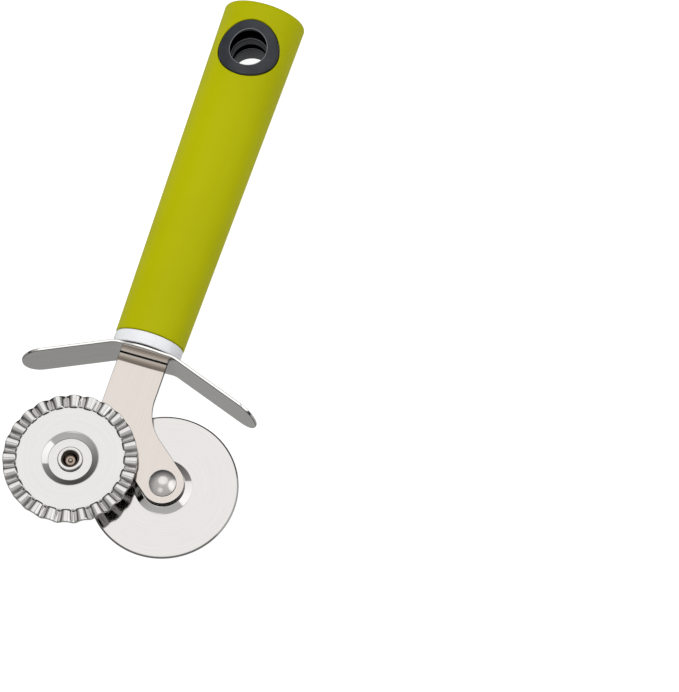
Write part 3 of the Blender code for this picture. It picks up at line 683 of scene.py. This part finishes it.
# The plate's sides and rounded edges are painted shade, the dark line by the guard is painted shade, and the
# brown band beside it is a painted reflection of the guard.
plateLook = {"dark": (0.565, 0.520, 0.480), "light": (0.605, 0.560, 0.520),
             "stretch": (4200.0, 60.0, 60.0), "grain": 1.0, "patches": 70.0, "smooth": 0.07, "rough": 0.13,
             "bump": 0.0008, "joint": (-6.78, -6.7), "jointTone": (0.02, 0.018, 0.016), "faceAxis": "Z",
             "paintedEdgeShading": ((0.0, (0.05, 0.05, 0.05)), (0.8, (0.05, 0.05, 0.05)), (0.97, (1.0, 1.0, 1.0))),
             "guardReflectionReach": (-6.6, -9.9),
             "paintedGuardReflection": ((0.0, (1.0, 1.0, 1.0)), (0.22, (1.0, 0.97, 0.93)), (0.40, (0.66, 0.61, 0.56)),
                      (0.60, (0.42, 0.39, 0.36)), (0.86, (0.35, 0.32, 0.29)), (0.90, (1.0, 1.0, 1.0)))}
plateSteel = steelFinish("plate satin steel", plateLook)

plateSize = {"thickness": 1.6, "edge": 0.18, "halfWidth": 8.4, "shoulder": -6.4, "boss": 7.2,
             "plainAngle": -40.0, "flutedAngle": -119.4, "outerFillet": 17.0, "crotchFillet": 3.0,
             "tangHalfWidth": 5.0, "tangEnd": 60.0}


def filletCorner(before, corner, after, radius, count):
    return roundedChain((before, corner, after), (0.0, radius, 0.0), count=count)[count + 3:2 * count + 3]


def plateOutline():
    # Tang, shoulders, stem and the two round-ended arms, anticlockwise from the tang's end.
    size = plateSize

    def edgeRun(axle, degrees, side):
        way = np.array((math.cos(math.radians(degrees)), math.sin(math.radians(degrees))))
        return axle + size["boss"] * np.array((-way[1], way[0])) * side, way

    def atStem(run, x):
        point, way = run
        return point + way * (x - point[0]) / way[0]

    flutedOuter = edgeRun(flutedAxle, size["flutedAngle"], -1)
    flutedInner = edgeRun(flutedAxle, size["flutedAngle"], 1)
    plainInner = edgeRun(plainAxle, size["plainAngle"], -1)
    plainOuter = edgeRun(plainAxle, size["plainAngle"], 1)
    leftCorner = atStem(flutedOuter, -size["halfWidth"])
    rightCorner = atStem(plainOuter, size["halfWidth"])
    ways = np.stack((flutedInner[1], -plainInner[1]), axis=1)
    crotch = flutedInner[0] + flutedInner[1] * np.linalg.solve(ways, plainInner[0] - flutedInner[0])[0]
    left, tang, top = size["halfWidth"], size["tangHalfWidth"], size["shoulder"]
    parts = [[(-tang, size["tangEnd"]), (-tang, top), (-left, top)]]
    parts.append(filletCorner((-left, top), leftCorner, flutedOuter[0], size["outerFillet"], 20))
    parts.append(arc(flutedAxle, size["boss"], size["flutedAngle"] - 90, size["flutedAngle"] + 90, 49))
    parts.append(filletCorner(flutedInner[0], crotch, plainInner[0], size["crotchFillet"], 14))
    parts.append(arc(plainAxle, size["boss"], size["plainAngle"] - 90, size["plainAngle"] + 90, 49))
    parts.append(filletCorner(plainOuter[0], rightCorner, (left, top), size["outerFillet"], 24))
    parts.append([(left, top), (tang, top), (tang, size["tangEnd"])])
    return np.concatenate([np.array(part, float).reshape(-1, 2) for part in parts])


def insetOutline(outline, distance):
    # Each point moves inward square to the outline, far enough for both its neighbouring runs.
    ahead = np.roll(outline, -1, axis=0) - outline
    ahead /= np.linalg.norm(ahead, axis=1, keepdims=True)
    back = np.roll(ahead, 1, axis=0)
    inward = np.stack((-(ahead + back)[:, 1], (ahead + back)[:, 0]), axis=1)
    inward /= np.linalg.norm(inward, axis=1, keepdims=True)
    square = np.stack((-ahead[:, 1], ahead[:, 0]), axis=1)
    reach = distance / np.maximum((inward * square).sum(1, keepdims=True), 0.5)
    return outline + inward * reach


def addPlate():
    # The outline carried through a rounded edge section, from the upper face to the lower one.
    size = plateSize
    outline = plateOutline()
    turn = np.radians(np.linspace(0.0, 90.0, 6))
    inset = size["edge"] * (1 - np.sin(turn))
    height = size["thickness"] / 2 - size["edge"] * (1 - np.cos(turn))
    inset = np.concatenate(([size["edge"] + 0.05], inset, inset[::-1], [size["edge"] + 0.05]))
    height = np.concatenate(([size["thickness"] / 2], height, -height[::-1], [-size["thickness"] / 2]))
    paintedShadeRings = []
    for distance, up in zip(inset, height):
        ring = insetOutline(outline, distance)
        paintedShadeRings.append(np.column_stack((ring, np.full(len(ring), up))))
    grid = np.stack(paintedShadeRings)
    count = len(outline)
    lastStart = (len(paintedShadeRings) - 1) * count
    caps = (range(count), range(lastStart, lastStart + count))
    makePiece("fork_plate", [(grid, False, True, None)], plateSteel, "handle", "neck_plate",
              caps=caps, sharp=50.0)


addPlate()


nylonLook = {"dark": (0.68, 0.67, 0.62), "light": (0.75, 0.74, 0.70), "patches": 400.0,
             "texture": 3000.0, "smooth": 0.4, "rough": 0.55, "bump": 0.004}
# The rivet tail's dark hollow walls and dark rim, and the rivet head's darker rim, are painted shade; the
# tail's hollow floor is brownish.
rivetLook = {"dark": (0.60, 0.585, 0.57), "light": (0.72, 0.70, 0.685), "grain": 5200.0, "patches": 500.0,
             "smooth": 0.12, "rough": 0.24, "bump": 0.002, "reach": 4.7,
             "paintedShadeRings": ((0.0, (0.75, 0.66, 0.58)), (0.30, (0.45, 0.36, 0.30)), (0.42, (0.10, 0.085, 0.075)),
                       (0.585, (0.10, 0.09, 0.08)), (0.635, (1.0, 1.0, 1.0)), (0.88, (1.0, 1.0, 1.0)),
                       (0.905, (0.25, 0.25, 0.25)))}
headLook = dict(rivetLook, paintedShadeRings=((0.0, (1.0, 0.99, 0.98)), (0.9, (0.92, 0.91, 0.9)), (1.0, (0.6, 0.6, 0.6))))
bushLook = {"dark": (0.45, 0.30, 0.14), "light": (0.58, 0.41, 0.21), "grain": 4000.0, "patches": 400.0,
            "smooth": 0.3, "rough": 0.42, "bump": 0.002}
nylon = plasticFinish("washer nylon", nylonLook)
headSteel = steelFinish("rivet head steel", headLook, plainAxle)
tailSteel = steelFinish("rivet tail steel", rivetLook, flutedAxle)
plainBronze = steelFinish("plain bush bronze", bushLook, plainAxle)
flutedBronze = steelFinish("fluted bush bronze", bushLook, flutedAxle)

axleSize = {"shank": 2.5, "head": 4.65, "headHeight": 1.35, "headBase": 1.05, "tailNear": 2.95, "tail": 4.25,
            "tailHeight": 0.9, "mouth": 2.9, "hollow": 1.9, "hollowDepth": 2.2, "nub": 0.85,
            "nubHeight": 0.75,
            "bush": 3.15, "bushBore": 2.6, "washerBore": 3.5, "washer": 6.2, "washerNear": 1.05,
            "washerThickness": 0.5, "washerEdge": 0.12, "bushFar": 2.825, "bushEdge": 0.08}


def rivetProfile():
    # Domed head, shank, rolled tail and its hollow with a small nub, from the top of the axis down.
    size = axleSize
    base = size["headBase"]
    domeRadius = (size["head"] ** 2 + size["headHeight"] ** 2) / (2 * size["headHeight"])
    spreadDegrees = math.degrees(math.asin(size["head"] / domeRadius))
    domeCentre = (0.0, base + size["headHeight"] - domeRadius)
    dome = arc(domeCentre, domeRadius, 90.0, 90.0 - spreadDegrees + 1.2, 22)
    dome[0, 0] = 0.0
    end = -size["tailNear"] - size["tailHeight"]
    roll = size["tailHeight"] / 2
    floor = end + size["hollowDepth"]
    head = np.concatenate((dome, [(size["head"] - 0.02, base + 0.12), (size["head"] - 0.1, base),
                                  (size["shank"], base), (size["shank"], -size["tailNear"])]))
    outside = arc((size["tail"] - roll, end + roll), roll, 0.0, -90.0, 9)
    inside = bezier(((size["tail"] - roll - 0.1, end), (size["mouth"] + 0.1, end),
                     (size["mouth"] - 0.05, end + 0.05), (size["mouth"] - 0.15, end + 0.75)), 14)
    bottom = [(size["hollow"], floor - 0.3), (size["hollow"] - 0.3, floor)]
    nub = bezier(((size["nub"], floor), (size["nub"] * 0.85, floor - size["nubHeight"]),
                  (size["nub"] * 0.4, floor - size["nubHeight"]), (0.0, floor - size["nubHeight"])), 10)
    return np.concatenate((head, [(size["tail"], -size["tailNear"])], outside, inside, bottom, nub))


def squareRing(inner, outer, low, high, edge):
    corners = ((inner, high), (outer, high), (outer, low), (inner, low))
    return roundedChain(corners, [edge] * 4, count=4)


def addAxle(prefix, axle, wheelSide, rivetFinish, bushFinish):
    # wheelSide is +1 where the wheel lies above the plate; its rivet tail is on the wheel's side.
    size = axleSize
    flip = np.array((1.0, 1.0, -wheelSide))
    near = -size["washerNear"]
    bush = squareRing(size["bushBore"], size["bush"], -size["bushFar"], near, size["bushEdge"])
    washer = squareRing(size["washerBore"], size["washer"], near - size["washerThickness"], near,
                        size["washerEdge"])
    makePiece(prefix + "_rivet", [(turned(rivetProfile(), 96, axle) * flip, False, True, None)], rivetFinish,
              "handle", prefix + "_axle_rivet", sharp=40.0)
    makePiece(prefix + "_bush", [(turned(bush, 72, axle) * flip, True, True, None)], bushFinish,
              "handle", prefix + "_axle_bush")
    makePiece(prefix + "_washer", [(turned(washer, 96, axle) * flip, True, True, None)], nylon,
              "handle", prefix + "_spacer_washer")


addAxle("plain", plainAxle, -1, headSteel, plainBronze)
addAxle("fluted", flutedAxle, 1, tailSteel, flutedBronze)


# The dark ring at the plain wheel's edge and the thin dark line at the fluted wheel's hub step are painted
# shade.
wheelLook = {"dark": (0.600, 0.585, 0.572), "light": (0.635, 0.620, 0.608), "grain": 2600.0, "patches": 60.0,
             "smooth": 0.07, "rough": 0.12, "bump": 0.0006, "reach": 25.0,
             "paintedShadeRings": ((0.0, (1.0, 1.0, 1.0)), (0.975, (1.0, 1.0, 1.0)), (0.983, (0.45, 0.45, 0.45)),
                       (1.0, (0.35, 0.35, 0.35)))}
flutedLook = {"dark": (0.600, 0.588, 0.578), "light": (0.640, 0.628, 0.618), "grain": 2200.0, "patches": 60.0,
              "smooth": 0.07, "rough": 0.12, "bump": 0.0006, "reach": 22.5,
              "paintedShadeRings": ((0.0, (1.0, 1.0, 1.0)), (0.322, (1.0, 1.0, 1.0)), (0.329, (0.4, 0.39, 0.38)),
                        (0.336, (1.0, 1.0, 1.0)), (1.0, (1.0, 1.0, 1.0)))}
plainSteel = steelFinish("plain wheel steel", wheelLook, plainAxle)
flutedSteel = steelFinish("fluted wheel steel", flutedLook, flutedAxle)

wheelSize = {"bore": 3.25, "sheet": 0.9, "hubNear": 1.8, "hub": 7.4, "slope": 9.6, "hubOffset": 1.1,
             "plain": 25.0, "edgeWidth": 0.5, "edgeThickness": 0.3, "fluted": 22.5, "fluteStart": 17.9,
             "fluteRamp": 0.7, "fluteHeight": 0.7, "flutes": 24, "stepsPerFlute": 28, "grooveSharpness": 1.6}


def addPlainWheel():
    # A turned disc with a raised hub and a ground edge.
    size = wheelSize
    top = -size["hubNear"]
    rim = top - size["hubOffset"]
    edge = size["plain"] - size["edgeWidth"]
    middle = rim - size["sheet"] / 2
    thin = size["edgeThickness"] / 2
    corners = ((size["bore"], top), (size["hub"], top), (size["slope"], rim), (edge, rim),
               (size["plain"], middle + thin), (size["plain"], middle - thin), (edge, rim - size["sheet"]),
               (size["slope"], rim - size["sheet"]), (size["hub"], top - size["sheet"]),
               (size["bore"], top - size["sheet"]))
    radii = (0.08, 0.55, 0.9, 0.12, 0.07, 0.07, 0.12, 0.9, 0.55, 0.08)
    profile = roundedChain(corners, radii, count=7)
    makePiece("plain_disc", [(turned(profile, 288, plainAxle), True, True, None)], plainSteel, "plain_wheel",
              "plain_wheel", sharp=60.0)


def addFlutedWheel():
    # Height of the sheet's middle over (r, a): hub, slope and flat, plus the flute wave
    # 1 - 2 ((1 - cos 24a) / 2)^1.6, wide lands and narrow grooves, that fades in over a short ramp;
    # the two faces stand half the sheet away along the surface's own normal.
    size = wheelSize
    hubMiddle = size["hubNear"] + size["sheet"] / 2
    rimMiddle = hubMiddle + size["hubOffset"]
    corners = ((size["bore"], hubMiddle), (size["hub"], hubMiddle), (size["slope"], rimMiddle),
               (size["fluteStart"] - 0.6, rimMiddle))
    hubLine = roundedChain(corners, (0.0, 0.9, 0.9, 0.0), closed=False, count=7)
    rampEnd = size["fluteStart"] + size["fluteRamp"]
    edge = 0.22
    outerRows = np.concatenate((np.linspace(size["fluteStart"] - 0.3, rampEnd + 0.3, 14),
                                np.linspace(rampEnd + 0.8, size["fluted"] - edge, 7)))
    radius = np.concatenate((hubLine[:, 0], outerRows))[:, None]
    level = np.concatenate((hubLine[:, 1], np.full(len(outerRows), rimMiddle)))[:, None]
    count = size["flutes"] * size["stepsPerFlute"]
    angle = np.linspace(0.0, 2 * np.pi, count, endpoint=False)[None, :]
    wave = 1 - 2 * ((1 - np.cos(size["flutes"] * angle)) / 2) ** size["grooveSharpness"]
    t = np.clip((radius - size["fluteStart"]) / size["fluteRamp"], 0.0, 1.0)
    ramp = t * t * (3 - 2 * t)
    up = level + size["fluteHeight"] * ramp * wave
    x = radius * np.cos(angle)
    y = radius * np.sin(angle)
    sheet = np.stack((x, y, up + 0.0 * x), axis=2)
    alongR = np.gradient(sheet, axis=0)
    alongA = np.roll(sheet, -1, axis=1) - np.roll(sheet, 1, axis=1)
    normal = np.cross(alongR, alongA)
    normal /= np.linalg.norm(normal, axis=2, keepdims=True)
    half = size["sheet"] / 2
    upper = sheet + normal * half
    lower = sheet - normal * half
    outward = np.stack((np.cos(angle[0]), np.sin(angle[0]), 0 * angle[0]), axis=1)
    turn = np.radians(np.linspace(75.0, -75.0, 7))[:, None, None]
    rim = sheet[-1] + normal[-1] * half * np.sin(turn) + outward * edge * np.cos(turn)
    grid = np.concatenate((upper, rim, lower[::-1]))
    lowest = hubMiddle - half
    grid[:, :, 2] = np.clip(grid[:, :, 2], lowest, rimMiddle + size["fluteHeight"] + half)
    grid[:, :, :2] += flutedAxle
    makePiece("fluted_disc", [(grid, True, True, None)], flutedSteel, "fluted_wheel", "fluted_wheel",
              sharp=70.0)


addPlainWheel()
addFlutedWheel()

coreLook = {"dark": (0.74, 0.74, 0.71), "light": (0.80, 0.80, 0.78), "patches": 80.0,
            "texture": 1500.0, "smooth": 0.45, "rough": 0.6, "bump": 0.01}
pinLook = {"dark": (0.50, 0.50, 0.50), "light": (0.58, 0.58, 0.58), "stretch": (900.0, 900.0, 900.0),
           "grain": 1.0, "patches": 200.0, "smooth": 0.35, "rough": 0.45, "bump": 0.003}
coreWhite = plasticFinish("core plastic", coreLook)
pinSteel = steelFinish("pin steel", pinLook)

for node, finish in (("handle_core_upper", coreWhite), ("handle_core_lower", coreWhite),
                     ("tang_pin_front", pinSteel), ("tang_pin_rear", pinSteel),
                     ("core_screw_front", pinSteel), ("core_screw_rear", pinSteel)):
    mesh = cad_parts[node].data
    mesh.materials.clear()
    mesh.materials.append(finish)
print("inner parts finished")


stageLook = {"floor": (0.30, 0.30, 0.30), "glow": 0.92, "floorSize": 3.0,
             "sky": ((-1.0, 0.42), (-0.04, 0.40), (0.0, 0.03), (0.25, 0.07), (0.5, 0.30), (0.75, 0.62),
                     (1.0, 0.70)),
             "panel": {"size": 0.75, "power": 0.885, "place": (-0.145, 0.35, 0.95), "glossy": True,
                       "matt": True},
             "side": {"size": 0.85, "power": 1.66, "place": (0.62, 0.20, 0.62), "glossy": True,
                      "matt": False},
             "front": {"size": 0.35, "power": 0.17, "place": (-0.10, -0.42, 0.90), "glossy": True,
                       "matt": False},
             "fill": {"size": 1.6, "power": 11.8, "place": (-0.3, -0.2, 1.5), "glossy": False,
                      "matt": True}}


def addFloor():
    half = stageLook["floorSize"]
    mesh = bpy.data.meshes.new("floor")
    mesh.from_pydata([(-half, -half, -0.0002), (half, -half, -0.0002), (half, half, -0.0002),
                      (-half, half, -0.0002)], [], [(0, 1, 2, 3)])
    floor = bpy.data.objects.new("floor", mesh)
    bpy.context.scene.collection.objects.link(floor)
    finish, nodes, links, shader = startFinish("floor paper")
    place = objectPlace(nodes, links)
    grain = noise(nodes, links, place, 900.0, 2.0)
    light = stageLook["floor"]
    links.new(ramp(nodes, links, grain, ((0.3, [c * 0.985 for c in light]), (0.7, light))),
              shader.inputs["Base Color"])
    shader.inputs["Roughness"].default_value = 0.9
    shader.inputs["Specular IOR Level"].default_value = 0.1
    shader.inputs["Emission Color"].default_value = (1.0, 1.0, 1.0, 1.0)
    shader.inputs["Emission Strength"].default_value = stageLook["glow"]
    mesh.materials.append(finish)
    floor.visible_glossy = False  # polished steel mirrors the darker studio instead of the paper


def addLight():
    world = bpy.data.worlds.new("studio")
    bpy.context.scene.world = world
    world.use_nodes = True
    nodes = world.node_tree.nodes
    links = world.node_tree.links
    background = nodes["Background"]
    source = nodes.new("ShaderNodeTexCoord")
    split = nodes.new("ShaderNodeSeparateXYZ")
    links.new(source.outputs["Generated"], split.inputs["Vector"])
    height = spread(nodes, links, split.outputs["Z"], 0.0, 1.0, -1.0, 1.0)
    sky = ramp(nodes, links, height, [((z + 1) / 2, [tone] * 3) for z, tone in stageLook["sky"]])
    links.new(sky, background.inputs["Color"])
    background.inputs["Strength"].default_value = 1.0
    for name in ("panel", "side", "front", "fill"):
        look = stageLook[name]
        data = bpy.data.lights.new(name, "AREA")
        data.shape = "DISK"
        data.size = look["size"]
        data.energy = look["power"]
        lamp = bpy.data.objects.new(name, data)
        lamp.location = look["place"]
        lamp.rotation_euler = Vector(look["place"]).to_track_quat("Z", "Y").to_euler()
        lamp.visible_camera = False
        lamp.visible_glossy = look["glossy"]
        lamp.visible_diffuse = look["matt"]
        bpy.context.scene.collection.objects.link(lamp)


cameraLook = {"rise": 68.115, "turn": 22.775, "roll": -5.612, "lens": 208.1965318, "distance": 1345.97,
              "across": -63.81, "up": 1.417}


def addCamera():
    # Camera axes from the three angles; the place is the point whose coordinates on those axes are
    # (-across, -up, distance) from the middle of the handle's front end.
    look = cameraLook
    rise, turn, roll = (math.radians(look[key]) for key in ("rise", "turn", "roll"))
    back = np.array((math.sin(turn) * math.cos(rise), -math.cos(turn) * math.cos(rise), math.sin(rise)))
    right = np.array((math.cos(turn), math.sin(turn), 0.0))
    up = np.cross(back, right)
    across = math.cos(roll) * right + math.sin(roll) * up
    upright = -math.sin(roll) * right + math.cos(roll) * up
    place = -look["across"] * across - look["up"] * upright + look["distance"] * back
    data = bpy.data.cameras.new("camera")
    data.sensor_width = 36.0
    data.lens = look["lens"]
    data.clip_start = 0.05
    data.clip_end = 20.0
    camera = bpy.data.objects.new("camera", data)
    matrix = np.eye(4)
    matrix[:3, :3] = np.stack((across, upright, back), axis=1)
    matrix[:3, 3] = place * mm + origin
    camera.matrix_world = Matrix(matrix.tolist())
    bpy.context.scene.collection.objects.link(camera)
    bpy.context.scene.camera = camera


addFloor()
addLight()
addCamera()
bpy.context.scene.view_settings.view_transform = "Standard"
print("floor, light and camera placed")
